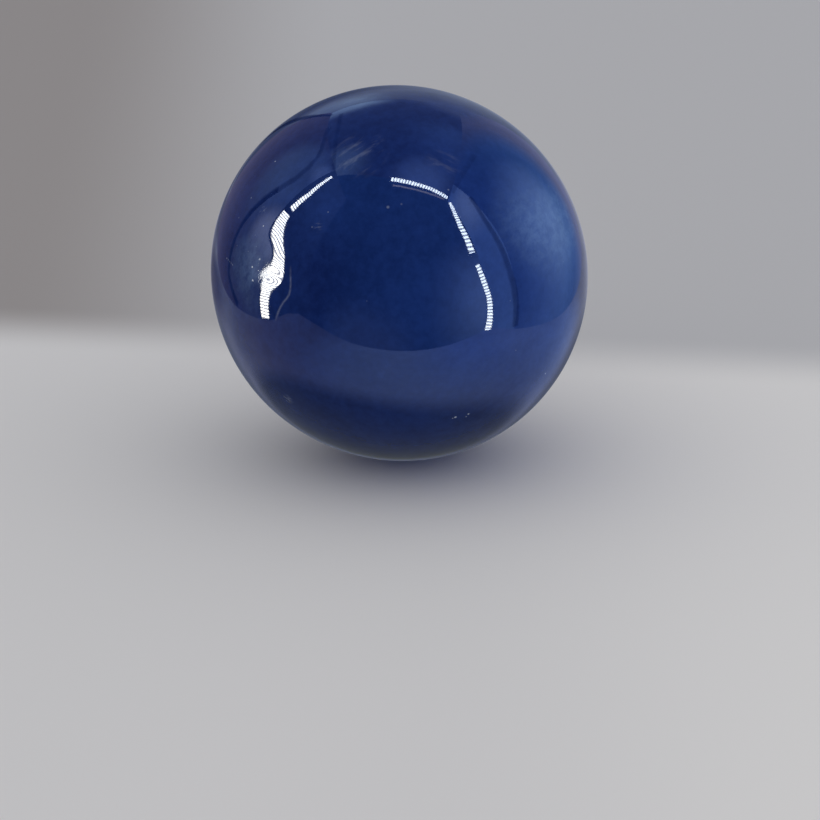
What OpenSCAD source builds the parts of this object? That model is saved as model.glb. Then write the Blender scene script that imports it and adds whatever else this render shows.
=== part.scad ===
// Glazed clay marble, rolled by hand and a little out of round, with the mark
// where it touched its neighbour in the kiln. One solid, centred on the origin.

/* [Ball] */
// Diameter of the ball before it went out of round
ball_d = 19; // [14:0.5:30]
// Extra length of the longest diameter
long_extra = 0.18; // [0:0.01:1]
// Loss of the shortest diameter, square to the longest
short_loss = 0.18; // [0:0.01:1]
// Angle of the longest diameter below level, seen from the front
long_dip = 41; // [0:1:90]
// Angle that the shortest diameter leans forward
short_lean = 17; // [-45:1:45]

/* [Kiln mark] */
// Diameter of the mark, from crest to crest of its rim
mark_d = 4.1; // [1:0.1:6]
// Radius of the mark's face, which is flatter than the ball
mark_face_r = 20; // [16:0.5:60]
// Angle round the shortest diameter from the longest one to the mark
mark_turn = 231.8; // [0:0.1:360]
// Angle of the mark above the plane square to the shortest diameter
mark_rise = -28.6; // [-90:0.1:90]

/* [Glaze rim] */
// Height of the rim of glaze above the ball
rim_h = 0.04; // [0.01:0.01:0.1]
// Radius of the rim's rounded crest
rim_r = 0.12; // [0.11:0.01:0.4]

/* [Hidden] */

cobalt = [0.07, 0.12, 0.32];
ball_fn = 128;
face_fn = 360;
crest_fn = 24;
turn_fn = 72;

// Where the ball's outline and the mark's face cross, under the crest of the rim.
mark_r = mark_d / 2;
cross_level = sqrt(pow(ball_d / 2, 2) - pow(mark_r, 2));
face_centre = cross_level - sqrt(pow(mark_face_r, 2) - pow(mark_r, 2));
rim_angle = asin(mark_d / ball_d);

// Half of the ball's round outline, flattened at the mark.
module ball_outline() {
    intersection() {
        circle(d = ball_d, $fn = ball_fn);
        translate([0, face_centre])
            circle(r = mark_face_r, $fn = face_fn);
        translate([0, -ball_d])
            square([ball_d, 2 * ball_d]);
    }
}

// The bead of glaze drawn up round the mark.
module rim_outline() {
    rotate(-rim_angle)
        translate([0, ball_d / 2 + rim_h - rim_r])
            circle(r = rim_r, $fn = crest_fn);
}

// Ball, mark and rim turned as one outline, with the mark on top.
module turned_ball() {
    rotate_extrude($fn = turn_fn) {
        ball_outline();
        rim_outline();
    }
}

// Presses the turned ball out of round, with its longest diameter along X.
module out_of_round() {
    scale([ball_d + long_extra, ball_d, ball_d - short_loss] / ball_d)
        children();
}

module marble() {
    color(cobalt)
        rotate([-short_lean, 0, 0])
            rotate([0, long_dip, 0])
                out_of_round()
                    rotate([0, 90 - mark_rise, mark_turn])
                        turned_ball();
}

marble();
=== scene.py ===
import math

import bpy
import numpy as np
from mathutils import Matrix, Vector


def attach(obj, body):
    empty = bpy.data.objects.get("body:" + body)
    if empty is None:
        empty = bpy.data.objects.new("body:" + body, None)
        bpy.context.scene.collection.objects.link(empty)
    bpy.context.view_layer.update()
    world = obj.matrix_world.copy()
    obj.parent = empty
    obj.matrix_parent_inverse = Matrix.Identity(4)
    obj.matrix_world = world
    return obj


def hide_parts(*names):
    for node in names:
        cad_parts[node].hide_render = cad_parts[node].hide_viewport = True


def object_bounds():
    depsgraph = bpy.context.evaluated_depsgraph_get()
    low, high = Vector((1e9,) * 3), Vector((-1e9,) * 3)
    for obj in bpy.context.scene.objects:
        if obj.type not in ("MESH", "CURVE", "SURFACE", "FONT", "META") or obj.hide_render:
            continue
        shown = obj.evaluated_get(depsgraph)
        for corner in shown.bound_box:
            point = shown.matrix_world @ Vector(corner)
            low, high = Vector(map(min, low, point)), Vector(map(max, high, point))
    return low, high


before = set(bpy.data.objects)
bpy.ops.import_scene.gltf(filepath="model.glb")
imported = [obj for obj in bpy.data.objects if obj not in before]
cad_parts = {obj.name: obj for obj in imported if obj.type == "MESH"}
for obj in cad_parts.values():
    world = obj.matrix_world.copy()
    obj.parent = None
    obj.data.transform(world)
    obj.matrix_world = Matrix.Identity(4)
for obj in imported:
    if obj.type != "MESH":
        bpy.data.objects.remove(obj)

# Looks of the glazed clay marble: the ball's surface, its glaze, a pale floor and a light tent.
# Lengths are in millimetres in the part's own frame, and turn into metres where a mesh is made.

MM = 0.001
cad_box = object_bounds()

# ---------------------------------------------------------------- the ball's sizes, in millimetres
BALL_D = 19.0            # before it went out of round
LONG_EXTRA = 0.18        # extra length of the longest diameter
SHORT_LOSS = 0.18        # loss of the shortest diameter
LONG_DIP = 41.0          # degrees that the longest diameter dips, seen from the front
SHORT_LEAN = 17.0        # degrees that the shortest diameter leans forward
MARK_TURN = 231.8        # degrees round the shortest diameter to the mark
MARK_RISE = -28.6        # degrees up to the mark

BALL_R = BALL_D / 2

# ---------------------------------------------------------------- the view
PICTURE = 820.0                    # pixels across the frame
BALL_PX = (399.3, 273.1)           # where the ball's centre is seen
BALL_R_PX = 188.15                 # its mean radius there
VIEW_RISE = 17.0                   # degrees that the camera looks down on the ball
CAMERA_AWAY = 260.0
SENSOR = 36.0                      # width of the camera's sensor
NEAREST_SEEN = 10.0
MM_PER_PX = BALL_R / BALL_R_PX

RIGHT = np.array([1.0, 0.0, 0.0])
UP = np.array([0.0, math.sin(math.radians(VIEW_RISE)), math.cos(math.radians(VIEW_RISE))])
NEAR = np.array([0.0, -math.cos(math.radians(VIEW_RISE)), math.sin(math.radians(VIEW_RISE))])


def turn(axis, degrees):
    return np.array(Matrix.Rotation(math.radians(degrees), 3, axis))


# The ball's own axes: longest diameter along X, shortest along Z.
LIE = turn("X", -SHORT_LEAN) @ turn("Y", LONG_DIP)
PRESS = np.array([BALL_D + LONG_EXTRA, BALL_D, BALL_D - SHORT_LOSS]) / BALL_D
AIM_MARK = turn("Z", MARK_TURN) @ turn("Y", 90 - MARK_RISE)


def press_out_of_round(points):
    """Takes points of the turned ball, mark on +Z, to where they lie on the real one."""
    return (points @ AIM_MARK.T * PRESS) @ LIE.T


def seen_at(px, py):
    """The point of the ball, in millimetres, that the camera sees at a pixel of its frame."""
    start = RIGHT * (px - BALL_PX[0]) * MM_PER_PX + UP * (BALL_PX[1] - py) * MM_PER_PX
    p = start @ LIE / (BALL_R * PRESS)
    way = -NEAR @ LIE / (BALL_R * PRESS)
    a, b, c = way @ way, 2 * p @ way, p @ p - 1
    t = (-b - math.sqrt(max(b * b - 4 * a * c, 0))) / (2 * a)
    return start - NEAR * t


def surface_normal(point):
    """Which way the ball's round faces at a point of it."""
    n = (point @ LIE / PRESS ** 2) @ LIE.T
    return n / np.linalg.norm(n)


# ---------------------------------------------------------------- shader maths
def hue(r, g, b):
    return (r, g, b, 1.0)


BLACK = hue(0, 0, 0)


class Sock:
    """A node socket that takes part in Python expressions."""

    def __init__(self, mat, out):
        self.mat, self.out = mat, out

    def _math(self, op, a, b=0.0):
        return self.mat.add("ShaderNodeMath", {"operation": op}, {0: a, 1: b})[0]

    def __add__(self, other):
        return self._math("ADD", self, other)

    def __radd__(self, other):
        return self._math("ADD", other, self)

    def __sub__(self, other):
        return self._math("SUBTRACT", self, other)

    def __rsub__(self, other):
        return self._math("SUBTRACT", other, self)

    def __mul__(self, other):
        return self._math("MULTIPLY", self, other)

    def __rmul__(self, other):
        return self._math("MULTIPLY", other, self)

    def over(self, low, high):
        """0 below low, 1 above high, smooth between; low may be the larger."""
        sockets = {"Value": self, "From Min": low, "From Max": high}
        settings = {"interpolation_type": "SMOOTHSTEP"}
        return self.mat.add("ShaderNodeMapRange", settings, sockets)["Result"]

    def clamped(self):
        return self.mat.add("ShaderNodeClamp", {}, {"Value": self})[0]


class Finish:
    """One material: its nodes are made through add, and its maths by expressions on Sock."""

    def __init__(self, name):
        self.material = bpy.data.materials.new(name)
        self.material.use_nodes = True
        self.tree = self.material.node_tree
        self.tree.nodes.clear()

    def add(self, kind, settings, sockets):
        node = self.tree.nodes.new(kind)
        for key, value in settings.items():
            setattr(node, key, value)
        for key, value in sockets.items():
            if isinstance(value, Sock):
                self.tree.links.new(value.out, node.inputs[key])
            else:
                node.inputs[key].default_value = value
        return Outs(self, node)

    def place_mm(self):
        coords = self.add("ShaderNodeTexCoord", {}, {})["Object"]
        return self.add("ShaderNodeVectorMath", {"operation": "SCALE"}, {0: coords, "Scale": 1 / MM})[0]

    def noise(self, place, size, detail=2.0, rough=0.5):
        sockets = {"Vector": place, "Scale": 1 / size, "Detail": detail, "Roughness": rough}
        return self.add("ShaderNodeTexNoise", {}, sockets)["Fac"]

    def away(self, place, point):
        settings = {"operation": "DISTANCE"}
        return self.add("ShaderNodeVectorMath", settings, {0: place, 1: tuple(point)})["Value"]

    def mix(self, a, b, share):
        settings = {"data_type": "RGBA"}
        sockets = {"Factor": share, 6: a, 7: b}
        return self.add("ShaderNodeMix", settings, sockets)[2]

    def dimmed(self, colour, factor):
        """A colour times a factor; a plain colour gives the node its first three numbers."""
        settings = {"operation": "SCALE"}
        whole = colour if isinstance(colour, Sock) else colour[:3]
        return self.add("ShaderNodeVectorMath", settings, {0: whole, "Scale": factor})[0]

    def attribute(self, name):
        return self.add("ShaderNodeAttribute", {"attribute_name": name}, {})["Fac"]

    def part(self, place, axis):
        return self.add("ShaderNodeSeparateXYZ", {}, {"Vector": place})[axis]

    def turned(self, place, middle, facing, degrees, stretch):
        """Coordinates round a point of the ball, turned about its normal and stretched."""
        tilt = Vector(facing).to_track_quat("Z", "Y").to_matrix()
        tilt = tilt @ Matrix.Rotation(math.radians(degrees), 3, "Z")
        sockets = {"Vector": place, "Location": tuple(middle), "Rotation": tilt.to_euler(), "Scale": stretch}
        return self.add("ShaderNodeMapping", {"vector_type": "TEXTURE"}, sockets)[0]

    def only_light(self, colour, strength):
        return self.add("ShaderNodeBsdfPrincipled", {}, {
            "Base Color": BLACK,
            "Specular IOR Level": 0.0,
            "Roughness": 1.0,
            "Emission Color": colour,
            "Emission Strength": strength,
        })[0]

    def ends(self, shader):
        out = self.tree.nodes.new("ShaderNodeOutputMaterial")
        self.tree.links.new(shader.out, out.inputs["Surface"])
        return self.material


class Outs:
    """The outputs of a node, by name or by number."""

    def __init__(self, mat, node):
        self.mat, self.node = mat, node

    def __getitem__(self, key):
        return Sock(self.mat, self.node.outputs[key])


# ---------------------------------------------------------------- the ball
SEGMENTS = 384
SPACING = 0.17           # between rings of vertices
FINE_SPACING = 0.05      # and near the kiln mark
FINE_REACH = 3.0         # how far from the mark's middle the fine rings go

# Unevenness of the whole ball: length of its waves, height, seed.
SLOW_RIPPLE = (9.0, 0.006, 3)
FINE_RIPPLE = (3.0, 0.0012, 5)
WAVES = 40

# The mark is a soft, uneven flat: a wide dent, a swell of glaze on its right and a small dent between them,
# each (across, up, reach, reach, degrees, height), in millimetres from the mark's middle.
MARK_PX = (262, 268)
WIDE_DENT = (-0.3, 0.6, 1.35, 1.85, 128, -0.14)
GLAZE_SWELL = (2.1, 0.1, 1.7, 0.65, 77, 0.05)
SMALL_DENT = (0.85, -0.15, 0.95, 0.5, 0, -0.05)
MARK_FORM = [WIDE_DENT, GLAZE_SWELL, SMALL_DENT]
# Thread of thick glaze along the mark's right edge: its course, and its size.
THREAD = [(2.04, 0.60), (2.11, 0.30), (2.18, 0.0), (2.23, -0.30), (2.25, -0.58), (2.21, -0.84), (2.08, -1.07),
          (1.90, -1.30), (1.73, -1.58), (1.58, -1.88), (1.45, -2.18), (1.38, -2.42)]
THREAD_H = 0.0045
THREAD_W = 0.038
THREAD_ENDS = 6          # it thins out over one part in this many of its length, at either end


def ring_angles():
    """Angles from the mark's middle, closer together near it."""
    inner = np.arange(FINE_SPACING, FINE_REACH, FINE_SPACING)
    count = round((math.pi * BALL_R - FINE_REACH) / SPACING)
    outer = np.linspace(FINE_REACH, math.pi * BALL_R, count, endpoint=False)
    return np.concatenate([inner, outer]) / BALL_R


def ripples(points, length, height, seed):
    """A smooth random field over points: waves of about one length, in every direction."""
    rng = np.random.default_rng(seed)
    ways = rng.normal(size=(WAVES, 3))
    lengths = length / rng.uniform(0.7, 1.3, WAVES)
    ways *= (2 * math.pi / lengths / np.linalg.norm(ways, axis=1))[:, None]
    starts = rng.uniform(0, 2 * math.pi, WAVES)
    return height * np.cos(points @ ways.T + starts).sum(1) / math.sqrt(WAVES / 2)


def off_line(u, v, course):
    """Distance from points to a bent line, and how far along it (0 to 1) the nearest place is."""
    best = np.full(u.shape, 1e9)
    along = np.zeros(u.shape)
    course = np.array(course)
    steps = np.linalg.norm(np.diff(course, axis=0), axis=1)
    before = np.concatenate([[0], np.cumsum(steps)])
    for k, (a, b) in enumerate(zip(course[:-1], course[1:])):
        way = b - a
        t = np.clip(((u - a[0]) * way[0] + (v - a[1]) * way[1]) / (way @ way), 0, 1)
        off = np.hypot(u - a[0] - t * way[0], v - a[1] - t * way[1])
        along = np.where(off < best, (before[k] + t * steps[k]) / before[-1], along)
        best = np.minimum(best, off)
    return best, along


def mark_form(points):
    """Height of the mark over the ball's round, and the share of glaze thread, at points."""
    middle = seen_at(*MARK_PX)
    facing = surface_normal(middle)
    across = np.cross([0, 0, 1], facing)
    across /= np.linalg.norm(across)
    q = points - middle
    u = q @ across
    v = q @ np.cross(facing, across)
    near = q @ facing > -BALL_R / 2
    height = np.zeros(len(points))
    for mu, mv, reach_u, reach_v, degrees, lift in MARK_FORM:
        c = math.cos(math.radians(degrees))
        s = math.sin(math.radians(degrees))
        a = ((u - mu) * c + (v - mv) * s) / reach_u
        b = ((v - mv) * c - (u - mu) * s) / reach_v
        height += lift * np.exp(-a * a - b * b)
    off, along = off_line(u, v, THREAD)
    fade = np.clip(np.minimum(along, 1 - along) * THREAD_ENDS, 0, 1)
    thread = fade * np.exp(-(off / THREAD_W) ** 2)
    return near * (height + THREAD_H * thread), near * thread


def on_skin(px, py):
    """The point of the finished surface seen at a pixel, the mark's flat taken in."""
    point = seen_at(px, py)
    lift = mark_form(point[None, :])[0][0]
    return point + NEAR * lift / (surface_normal(point) @ NEAR)


def ball_piece():
    angles = ring_angles()
    round_way = np.linspace(0, 2 * math.pi, SEGMENTS, endpoint=False)
    a, w = [g.ravel() for g in np.meshgrid(angles, round_way, indexing="ij")]
    a = np.concatenate([[0.0], a, [math.pi]])
    w = np.concatenate([[0.0], w, [0.0]])
    way = np.stack([np.sin(a) * np.cos(w), np.sin(a) * np.sin(w), np.cos(a)], 1)
    points = press_out_of_round(way * BALL_R)
    lift, thread = mark_form(points)
    lift = lift + ripples(points, *SLOW_RIPPLE) + ripples(points, *FINE_RIPPLE)
    points = points * (1 + lift / np.linalg.norm(points, axis=1))[:, None] * MM
    last = len(points) - 1
    faces = []
    for s in range(SEGMENTS):
        n = (s + 1) % SEGMENTS
        faces.append((0, 1 + s, 1 + n))
        for r in range(len(angles) - 1):
            i, j = 1 + r * SEGMENTS, 1 + (r + 1) * SEGMENTS
            faces.append((i + s, j + s, j + n, i + n))
        faces.append((last, last - SEGMENTS + n, last - SEGMENTS + s))
    mesh = bpy.data.meshes.new("glazed_ball")
    mesh.from_pydata(points.tolist(), [], faces)
    mesh.polygons.foreach_set("use_smooth", [True] * len(mesh.polygons))
    mesh.attributes.new("glaze_thread", "FLOAT", "POINT").data.foreach_set("value", thread)
    piece = bpy.data.objects.new("glazed_ball", mesh)
    bpy.context.collection.objects.link(piece)
    return piece


# ---------------------------------------------------------------- the glaze
GLAZE_DEEP = hue(0.0050, 0.0140, 0.084)
GLAZE_POOLED = hue(0.0104, 0.0285, 0.148)
PALE = hue(0.52, 0.58, 0.70)               # pits, specks and scuffs, and a painted highlight along the mark's thread
MILKY_AND_LIT = hue(0.085, 0.145, 0.285)           # haze in the glaze, and painted light: the side lamps' light on the glaze's body
SHEEN_TINT = hue(0.30, 0.45, 1.0)          # what the blue glaze gives to a reflection seen straight on
GLAZE_IOR = 1.55
GLAZE_ROUGH = 0.026                        # where nothing has touched it
POOL_SIZE = 5.0
MOTTLE_SIZE = 0.45
SKIN_SIZE = 0.9
GRAIN_SIZE = 0.11
CLOUD_SIZE = 1.1
SCUFF_SIZE = 0.12                          # width of a scuff's streaks, times its stretch
WIPED = (40, (1.0, 0.35, 0.35))            # which way the haze is wiped, in degrees, and its stretch
RELIEF = 0.0025                            # depth of the relief in the glaze's skin

# Pits and specks: pixel, radius in millimetres, share of pale colour.
SPECKS = [
    (277.8, 163.5, 0.055, 0.65), (254.3, 199.2, 0.06, 0.30), (388.5, 209.4, 0.10, 0.22),
    (401.5, 206.5, 0.07, 0.12), (242.0, 218.6, 0.05, 0.20), (229.8, 258.4, 0.05, 0.4),
    (231.3, 260.0, 0.045, 0.35), (232.8, 261.6, 0.045, 0.3), (234.3, 263.2, 0.045, 0.35),
    (235.9, 264.8, 0.05, 0.4), (267.0, 227.0, 0.05, 0.6), (263.5, 259.6, 0.065, 0.9),
    (256.0, 267.0, 0.065, 0.9), (256.3, 280.0, 0.07, 0.95), (252.0, 252.0, 0.04, 0.4),
    (260.0, 247.0, 0.035, 0.5), (259.0, 236.0, 0.035, 0.4), (262.0, 270.5, 0.04, 0.7),
    (454.2, 414.0, 0.085, 0.8), (451.5, 415.0, 0.045, 0.6), (467.0, 411.0, 0.065, 0.75),
    (464.8, 413.7, 0.04, 0.7), (543.5, 372.2, 0.06, 0.8), (527.5, 419.4, 0.05, 0.4),
    (513.0, 348.5, 0.04, 0.25), (507.0, 300.0, 0.035, 0.2), (330.5, 214.0, 0.05, 0.25),
    (447.0, 192.5, 0.06, 0.25), (315.0, 228.5, 0.05, 0.2), (483.0, 118.0, 0.045, 0.15),
    (368.0, 300.0, 0.035, 0.15), (560.0, 262.0, 0.04, 0.15), (271.8, 285.0, 0.045, 0.5),
    (240.5, 246.0, 0.04, 0.25),
]
# Scuffs and cloudy places: pixel, radius, stretch along and across, degrees, share.
SCUFFS = [
    (361, 157, 1.70, 16.0, 3.0, 52, 0.15),
    (320.6, 228, 0.35, 4.0, 0.8, 20, 0.16),
    (266.7, 211.4, 0.35, 2.5, 1.0, 50, 0.16),
    (290, 397, 0.40, 3.5, 0.6, -30, 0.50),
    (553, 383, 0.60, 1.0, 1.0, 40, 0.40),
    (445, 168, 1.30, 14.0, 3.0, -35, 0.07),
]
# Milky haze in the glaze: pixel, near and far reach in millimetres, share. The bright places on the right,
# and partly those by the mark on the left, are painted light: the side lamps' light on the glaze's body.
HAZE_AND_LIGHT_PLACES = [
    (254, 266, 0.5, 2.4, 0.48),
    (257, 270, 0.1, 0.9, 0.42),
    (359, 103, 0.2, 1.8, 0.34),
    (255, 307, 0.2, 1.2, 0.16),
    (560, 220, 0.3, 2.6, 0.65),
    (545, 232, 0.3, 3.0, 0.62),
    (520, 225, 0.3, 2.6, 0.36),
    (515, 370, 1.0, 7.0, 0.07),
]
# Where the glaze is rubbed finely rough, on the mark.
RUBBED_PX = (259, 270)
RUBBED_REACH = (1.4, 0.5)


# Mixes in milky haze of the glaze, which on the sides is partly painted light from the side lamps.
def with_haze_and_light(f, at, colour, cloud, grain):
    for px, py, near, far, share in HAZE_AND_LIGHT_PLACES:
        milky_and_lit = f.away(at, on_skin(px, py)).over(far, near) * (cloud * 0.7 + grain * 0.8) * share
        colour = f.mix(colour, MILKY_AND_LIT, milky_and_lit.clamped())
    return colour


def wear_and_thread_highlight(f, at):
    """Share of pale, rougher surface: scuffs, pits and specks, and on the mark's thread of glaze a pale line
    that is painted highlight.
    """
    pale_share = 0.0
    for px, py, reach, along, across, degrees, share in SCUFFS:
        place = on_skin(px, py)
        stretch = (SCUFF_SIZE * along, SCUFF_SIZE * across, SCUFF_SIZE)
        laid = f.turned(at, place, surface_normal(place), degrees, stretch)
        scratch = f.noise(laid, 1.0, 3.0, 0.65).over(0.46, 0.70)
        pale_share = scratch * f.away(at, place).over(reach, reach * 0.3) * share + pale_share
    for px, py, radius, share in SPECKS:
        pale_share = f.away(at, on_skin(px, py)).over(radius, radius * 0.4) * share + pale_share
    # The pale line along the thread is a painted highlight, where the raised glaze catches a strip lamp's
    # reflection.
    thread = f.attribute("glaze_thread")
    return (thread * f.noise(at, 0.5).over(0.25, 0.5) * 0.22 + pale_share).clamped()


def cobalt_glaze():
    f = Finish("cobalt_glaze")
    at = f.place_mm()
    pool = (f.noise(at, POOL_SIZE, 3.0) * 0.5 + f.noise(at, MOTTLE_SIZE, 4.0, 0.65) * 0.5).over(0.3, 0.7)
    grain = f.noise(at, GRAIN_SIZE, 3.0, 0.7)
    wiped = f.turned(at, (0, 0, 0), NEAR, *WIPED)
    cloud = f.noise(wiped, CLOUD_SIZE, 5.0, 0.65).over(0.34, 0.68)
    pale_share = wear_and_thread_highlight(f, at)
    # The glaze's colour, with its haze, which on the sides is partly painted light.
    colour = with_haze_and_light(f, at, f.mix(GLAZE_DEEP, GLAZE_POOLED, pool), cloud, grain)
    rubbed = f.away(at, on_skin(*RUBBED_PX)).over(*RUBBED_REACH) * cloud
    skin = f.noise(at, SKIN_SIZE, 2.0) * 0.8 + grain * (rubbed * 2.5 + 0.1) + pale_share * 0.8
    bump = f.add("ShaderNodeBump", {}, {"Strength": 0.5, "Distance": RELIEF * MM, "Height": skin})["Normal"]
    shader = f.add("ShaderNodeBsdfPrincipled", {}, {
        "Base Color": f.mix(colour, PALE, pale_share),
        "Roughness": grain * 0.012 + pale_share * 0.25 + rubbed * 0.02 + GLAZE_ROUGH,
        "IOR": GLAZE_IOR,
        "Specular Tint": SHEEN_TINT,
        "Normal": bump,
    })[0]
    return f.ends(shader)


# ---------------------------------------------------------------- the stage
def stage_mesh(name, points, faces, material):
    mesh = bpy.data.meshes.new(name)
    mesh.from_pydata([tuple(MM * c for c in p) for p in points], [], faces)
    mesh.materials.append(material)
    thing = bpy.data.objects.new(name, mesh)
    bpy.context.collection.objects.link(thing)
    return thing


def only_reflected(thing):
    """Leaves a stage piece to be seen in reflections alone."""
    thing.visible_camera = False
    thing.visible_diffuse = False
    thing.visible_shadow = False
    thing.visible_transmission = False


# The tent's walls, and the room that is seen through its open front.
TENT_LEFT = -187.0
TENT_RIGHT = 177.0
TENT_FRONT = -125.0
TENT_BACK = 540.0
TENT_FLOOR = -71.0
TENT_ROOF = 320.0
ROOM_AHEAD = -140.0
ROOM_TOP = 420.0
ROOM_LIGHT = hue(0.09, 0.28, 0.57)


def upright(x, y0, y1, z0, z1):
    return [(x, y0, z0), (x, y1, z0), (x, y1, z1), (x, y0, z1)]


def facing(y, x0, x1, z0, z1):
    return [(x0, y, z0), (x1, y, z0), (x1, y, z1), (x0, y, z1)]


# Light of the far top right corner, where three panels meet.
FAR_CORNER = ((TENT_RIGHT, TENT_BACK, TENT_ROOF), 40, 200, hue(0.26, 0.33, 0.56))

# Cloth panels: corners, colour of their light, and places of other light as (middle, near, far, colour).
PANELS = {
    "tent_left_front": ([(TENT_LEFT, 9, TENT_FLOOR), (TENT_LEFT, 9, TENT_ROOF), (TENT_LEFT, -160, TENT_ROOF),
                         (TENT_LEFT, -160, -77), (TENT_LEFT, -103, -54), (TENT_LEFT, -20, TENT_FLOOR)],
                        hue(0.05, 0.08, 0.13), [
        ((TENT_LEFT, -90, 240), 30, 190, hue(0.30, 0.50, 0.85))]),
    "tent_left": (upright(TENT_LEFT, 9, TENT_BACK, TENT_FLOOR, TENT_ROOF), hue(0.20, 0.18, 0.27), [
        ((TENT_LEFT, 110, -70), 30, 150, hue(0.15, 0.13, 0.18)),
        ((TENT_LEFT, 40, 190), 50, 200, hue(0.56, 0.78, 1.16)),
        ((TENT_LEFT, 0, 250), 20, 70, hue(1.2, 1.5, 2.0)),
        ((TENT_LEFT, 0, 50), 8, 66, hue(2.3, 2.2, 2.1))]),
    "tent_right": (upright(TENT_RIGHT, -56, TENT_BACK, TENT_FLOOR, TENT_ROOF), hue(0.37, 0.40, 0.62), [
        ((TENT_RIGHT, 20, 110), 150, 340, hue(0.19, 0.45, 1.10)),
        ((TENT_RIGHT, 0, -90), 20, 130, hue(0.40, 0.72, 1.55)),
        ((TENT_RIGHT, 60, 60), 10, 150, hue(0.95, 1.5, 2.5)), FAR_CORNER]),
    "tent_flap": (upright(TENT_RIGHT, -150, -56, TENT_FLOOR - 30, TENT_ROOF), hue(0.90, 1.38, 2.2), [
        ((TENT_RIGHT, -90, 215), 15, 110, hue(2.3, 2.6, 3.0))]),
    "tent_back": (facing(TENT_BACK, TENT_LEFT, TENT_RIGHT, TENT_FLOOR, TENT_ROOF), hue(0.29, 0.34, 0.45), [
        ((-120, TENT_BACK, -20), 70, 190, hue(0.09, 0.11, 0.17)),
        ((-130, TENT_BACK, 250), 20, 150, hue(0.50, 0.64, 0.86)), FAR_CORNER]),
    "tent_over_door": ([(TENT_LEFT, -20, TENT_ROOF), (-21, -85, TENT_ROOF), (171, -125, TENT_ROOF),
                        (TENT_RIGHT, -127, TENT_ROOF), (TENT_RIGHT, -210, TENT_ROOF),
                        (TENT_LEFT, -210, TENT_ROOF)], ROOM_LIGHT, []),
    "tent_roof": ([(TENT_LEFT, -20, TENT_ROOF), (-21, -85, TENT_ROOF), (171, -125, TENT_ROOF),
                   (TENT_RIGHT, -127, TENT_ROOF), (TENT_RIGHT, TENT_BACK, TENT_ROOF),
                   (TENT_LEFT, TENT_BACK, TENT_ROOF)], hue(0.12, 0.16, 0.32), [
        ((TENT_RIGHT, 110, TENT_ROOF), 60, 190, hue(0.27, 0.47, 1.0)),
        ((-165, 20, TENT_ROOF), 25, 115, hue(0.92, 1.18, 1.32)),
        ((80, -80, TENT_ROOF), 30, 125, hue(0.95, 1.2, 1.7)),
        ((-125, 505, TENT_ROOF), 20, 155, hue(0.72, 1.0, 1.38)), FAR_CORNER]),
    "tent_floor": ([(TENT_LEFT, TENT_BACK, TENT_FLOOR),
                    (TENT_RIGHT, TENT_BACK, TENT_FLOOR), (TENT_RIGHT, TENT_FRONT, TENT_FLOOR),
                    (-71, -127, TENT_FLOOR), (-167, -139, TENT_FLOOR), (-246, -135, TENT_FLOOR),
                    (TENT_LEFT, -20, TENT_FLOOR)], hue(0.40, 0.42, 0.52), [
        ((-170, -60, TENT_FLOOR), 40, 170, hue(0.58, 0.46, 0.42)),
        ((175, 40, TENT_FLOOR), 30, 170, hue(0.55, 0.80, 1.55)),
        ((10, -120, TENT_FLOOR), 40, 150, hue(1.35, 1.42, 1.5)),
        ((140, -100, TENT_FLOOR), 40, 150, hue(1.05, 1.35, 2.15)),
        ((-90, 400, TENT_FLOOR), 60, 170, hue(0.14, 0.15, 0.21)),
        ((-110, 215, TENT_FLOOR), 30, 110, hue(0.13, 0.13, 0.18)),
        # The two dim patches in the middle, under and behind the ball, are painted shade: the ball's own
        # shadow as its underside reflects it.
        ((0, 150, TENT_FLOOR), 45, 105, hue(0.15, 0.17, 0.22)),
        ((-12, 28, TENT_FLOOR), 50, 78, hue(0.15, 0.16, 0.14))]),
    "room_ahead": (facing(ROOM_AHEAD, -420, 420, -330, ROOM_TOP), ROOM_LIGHT, [
        ((-230, ROOM_AHEAD, 10), 50, 230, hue(0.02, 0.04, 0.10)),
        ((-60, ROOM_AHEAD, -90), 30, 110, hue(0.42, 0.52, 0.70)),
        ((175, ROOM_AHEAD, -10), 10, 150, hue(1.7, 2.1, 2.6))]),
}
# Sewn seams of the tent: a course of points, width, how dark.
SEAMS = {
    "seam_left": ([(-185, 61, 112), (-185, 77, 71), (-185, 93, 30), (-185, 103, -6), (-185, 112, -36),
                   (-185, 83, -63)], 26, 0.95),
    "seam_left_top": ([(-181, 300, 316), (-184, 200, 295), (-185, 130, 272), (-185, 96, 250), (-185, 66, 210),
                       (-185, 54, 160), (-185, 61, 112)], 24, 0.55),
    "seam_left_back": ([(-100, 536, -60), (-114, 536, -22), (-161, 536, 91), (-184, 498, 214),
                        (-184, 467, 314)], 26, 0.8),
    "seam_roof": ([(-149, 420, 317), (-151, 242, 317), (-168, 114, 317), (-184, 12, 308)], 16, 0.5),
    "seam_right": ([(175, -52, 214), (175, -65, 137), (175, -66, 87), (175, -64, 40), (175, -58, -10),
                    (175, -53, -66)], 20, 0.65),
    "seam_right_top": ([(175, -90, 300), (175, 24, 270), (175, 110, 242)], 30, 0.35),
}


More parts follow.
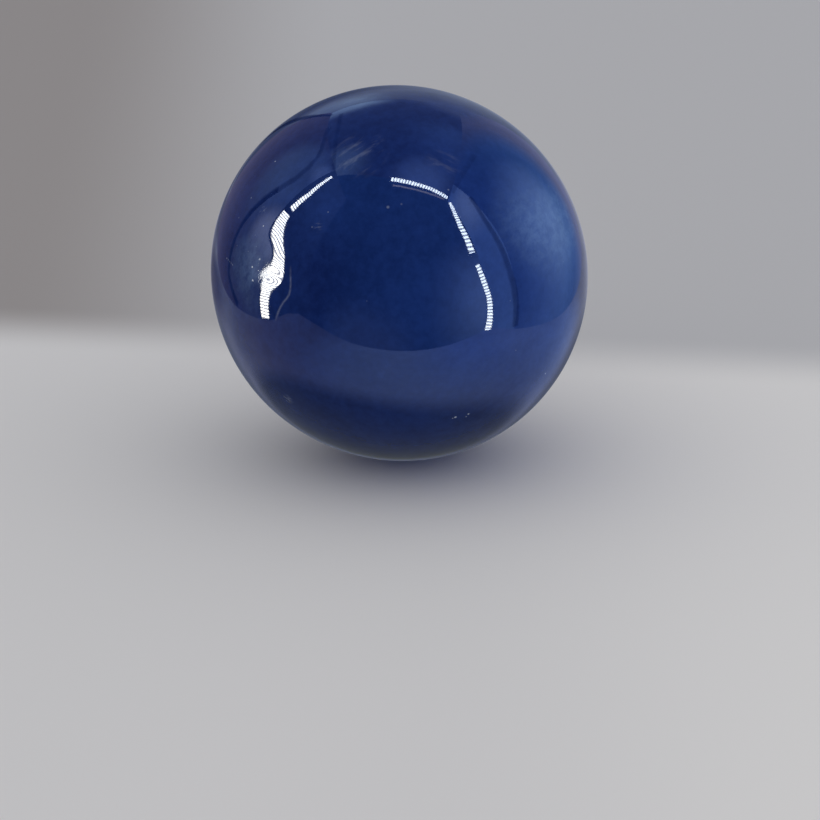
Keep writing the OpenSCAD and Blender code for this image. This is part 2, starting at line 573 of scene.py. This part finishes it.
def ribbon(name, course, widths, material):
    """A flat band along a course of points, facing the ball, from the first width to the last.

    Its attributes: across, from -1 to 1, and along, in millimetres.
    """
    course = [Vector(p) for p in course]
    lengths = [0.0]
    for a, b in zip(course[:-1], course[1:]):
        lengths.append(lengths[-1] + (b - a).length)
    points, faces, across, along = [], [], [], []
    for k, p in enumerate(course):
        way = course[min(k + 1, len(course) - 1)] - course[max(k - 1, 0)]
        width = widths[0] + (widths[1] - widths[0]) * lengths[k] / lengths[-1]
        side = way.cross(p).normalized() * width / 2
        points += [p - side, p, p + side]
        across += [-1.0, 0.0, 1.0]
        along += [lengths[k]] * 3
    for k in range(len(course) - 1):
        i, j = 3 * k, 3 * k + 3
        faces += [(i, i + 1, j + 1, j), (i + 1, i + 2, j + 2, j + 1)]
    band = stage_mesh(name, points, faces, material)
    band.data.attributes.new("across", "FLOAT", "POINT").data.foreach_set("value", across)
    band.data.attributes.new("along", "FLOAT", "POINT").data.foreach_set("value", along)
    only_reflected(band)


def seam_shade(darkness):
    """A dark sewn line, soft towards its edges."""
    f = Finish("seam_shade")
    across = f.attribute("across")
    shader = f.add("ShaderNodeBsdfPrincipled", {}, {
        "Base Color": BLACK,
        "Specular IOR Level": 0.0,
        "Roughness": 1.0,
        "Alpha": (1 - across * across).over(0.0, 1.0) * darkness,
    })[0]
    return f.ends(shader)


FOLD_SIZE = 50.0         # of the cloth's folds
CREASE_SIZE = 7.0        # and of its creases


def lit_cloth(name, colour, patches):
    """Cloth that light shines through: brighter or darker in patches, uneven with folds."""
    f = Finish(name)
    at = f.place_mm()
    for middle, near, far, light in patches:
        colour = f.mix(colour, light, f.away(at, middle).over(far, near))
    folds = f.noise(at, FOLD_SIZE, 3.0) * 0.4 + f.noise(at, CREASE_SIZE, 3.0, 0.7) * 0.4
    return f.ends(f.only_light(f.dimmed(colour, folds + 0.6), 1.0))


def tent():
    for name, (corners, base, patches) in PANELS.items():
        cloth = lit_cloth(name, base, patches)
        only_reflected(stage_mesh(name, corners, [tuple(range(len(corners)))], cloth))
    for name, (course, width, darkness) in SEAMS.items():
        ribbon(name, course, (width, width), seam_shade(darkness))


# Strips of lamps: course, widths at its ends, pitch of the lamps. They hang a little nearer than the cloth.
STRIP_NEAR = 0.88
LED_STRIPS = {
    "led_left_high": ([(-196, -13, 305), (-196, -18, 189), (-196, -10, 118)], (10.0, 17.0), 8.5),
    "led_left_low": ([(-196, -6, 103), (-196, -6, -72)], (25.0, 23.0), 6.0),
    "led_top": ([(-20, -80, 300), (36, -91, 300), (100, -101, 300), (160, -117, 300)], (16.0, 14.0), 8.5),
    "led_right_high": ([(174, -133, 297), (156, -133, 210), (149, -133, 162), (149, -133, 85)],
                       (12.0, 16.0), 10.5),
    "led_right_low": ([(154, -133, 60), (169, -133, 20), (180, -133, -5), (185, -133, -27), (186, -133, -51),
                       (182, -133, -86)], (11.0, 18.0), 6.8),
}
RAIL = [(-16, -104, 300), (31, -113, 300), (60, -117, 300), (98, -122, 300), (150, -128, 300)]
RAIL_W = (5.0, 5.0)
RAIL_SHINE = hue(1.0, 0.7, 0.45)
RAIL_STRENGTH = 5.0

LAMP_LIT = hue(1.0, 0.80, 0.44)
LAMP_GAP = hue(0.17, 0.14, 0.09)
LAMP_STRENGTH = 62.0
ROW_SLANT = 0.8          # how far a row of lamps leans along its strip
ROW_WIDTH = 6.0          # how far across the strip the rows' wobble is read
WAVE_SCALE = 0.314       # a Wave node's scale that puts its bands 1 apart


def lamp_light(pitch):
    """Rows of lamps across a strip, with dim gaps between them and soft edges."""
    f = Finish("lamp_light")
    along = f.attribute("along")
    across = f.attribute("across")
    place = f.add("ShaderNodeCombineXYZ", {}, {0: across * ROW_SLANT + along, 1: across * ROW_WIDTH})[0]
    rows = f.add("ShaderNodeTexWave", {"bands_direction": "X"}, {
        "Vector": place,
        "Scale": WAVE_SCALE / (pitch * STRIP_NEAR),
        "Distortion": 0.9,
        "Detail": 2.0,
        "Detail Scale": 2.0,
    })["Fac"]
    colour = f.mix(LAMP_LIT, LAMP_GAP, rows.over(0.62, 0.18))
    edge = (1 - across * across).over(0.0, 0.45)
    return f.ends(f.only_light(f.dimmed(colour, edge), LAMP_STRENGTH))


def led_strips():
    for name, (course, widths, pitch) in LED_STRIPS.items():
        near = [Vector(p) * STRIP_NEAR for p in course]
        ribbon(name, near, [w * STRIP_NEAR for w in widths], lamp_light(pitch))
    rail = Finish("rail_shine")
    shine = rail.ends(rail.only_light(RAIL_SHINE, RAIL_STRENGTH))
    ribbon("lamp_rail", [Vector(p) * STRIP_NEAR for p in RAIL], RAIL_W, shine)


TABLE_EDGE = (13.5, 21.5)        # where the floor's tone changes behind the ball
EDGE_SLANT = 0.16
TABLE_PALE = hue(0.80, 0.79, 0.795)
TABLE_GREY = hue(0.76, 0.755, 0.76)
TABLE_RIGHT = hue(0.86, 0.85, 0.845)
BEHIND = hue(0.573, 0.572, 0.59)
BEHIND_LEFT = hue(0.37, 0.345, 0.34)
FLOOR_HALF = 700.0
ROOM_GLOW = hue(0.66, 0.66, 0.668)


def pale_floor():
    f = Finish("pale_floor")
    at = f.place_mm()
    back = (f.part(at, 0) * EDGE_SLANT + f.part(at, 1)).over(*TABLE_EDGE)
    left = f.part(at, 0).over(-3.0, -22.0)
    wall = f.mix(BEHIND, BEHIND_LEFT, left)
    table = f.mix(TABLE_PALE, TABLE_GREY, f.noise(at, 40.0))
    table = f.mix(table, TABLE_RIGHT, f.part(at, 0).over(0.0, 20.0))
    shader = f.add("ShaderNodeBsdfPrincipled", {}, {
        "Base Color": f.mix(table, wall, back),
        "Roughness": 0.9,
        "Specular IOR Level": 0.1,
    })[0]
    low = cad_box[0][2] / MM
    sides = [(-1, -1), (1, -1), (1, 1), (-1, 1)]
    corners = [(x * FLOOR_HALF, y * FLOOR_HALF, low) for x, y in sides]
    floor = stage_mesh("pale_floor", corners, [(0, 1, 2, 3)], f.ends(shader))
    floor.visible_glossy = False


def camera():
    data = bpy.data.cameras.new("camera")
    eye = NEAR * CAMERA_AWAY
    middle = PICTURE / 2
    aim = RIGHT * (middle - BALL_PX[0]) * MM_PER_PX + UP * (BALL_PX[1] - middle) * MM_PER_PX
    data.sensor_width = SENSOR
    data.lens = SENSOR / 2 * CAMERA_AWAY / (middle * MM_PER_PX)
    data.clip_start = NEAREST_SEEN * MM
    seen = bpy.data.objects.new("camera", data)
    seen.location = Vector(eye) * MM
    seen.rotation_euler = Vector(aim - eye).to_track_quat("-Z", "Y").to_euler()
    bpy.context.collection.objects.link(seen)
    bpy.context.scene.camera = seen


def soft_light():
    world = bpy.data.worlds.new("room")
    bpy.context.scene.world = world
    world.use_nodes = True
    glow = world.node_tree.nodes["Background"]
    glow.inputs["Color"].default_value = ROOM_GLOW
    glow.inputs["Strength"].default_value = 1.0
    world.cycles_visibility.glossy = False


camera()
ball = ball_piece()
ball.data.materials.append(cobalt_glaze())
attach(ball, "root")
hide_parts("marble")
pale_floor()
tent()
led_strips()
soft_light()
bpy.context.scene.view_settings.view_transform = "Standard"
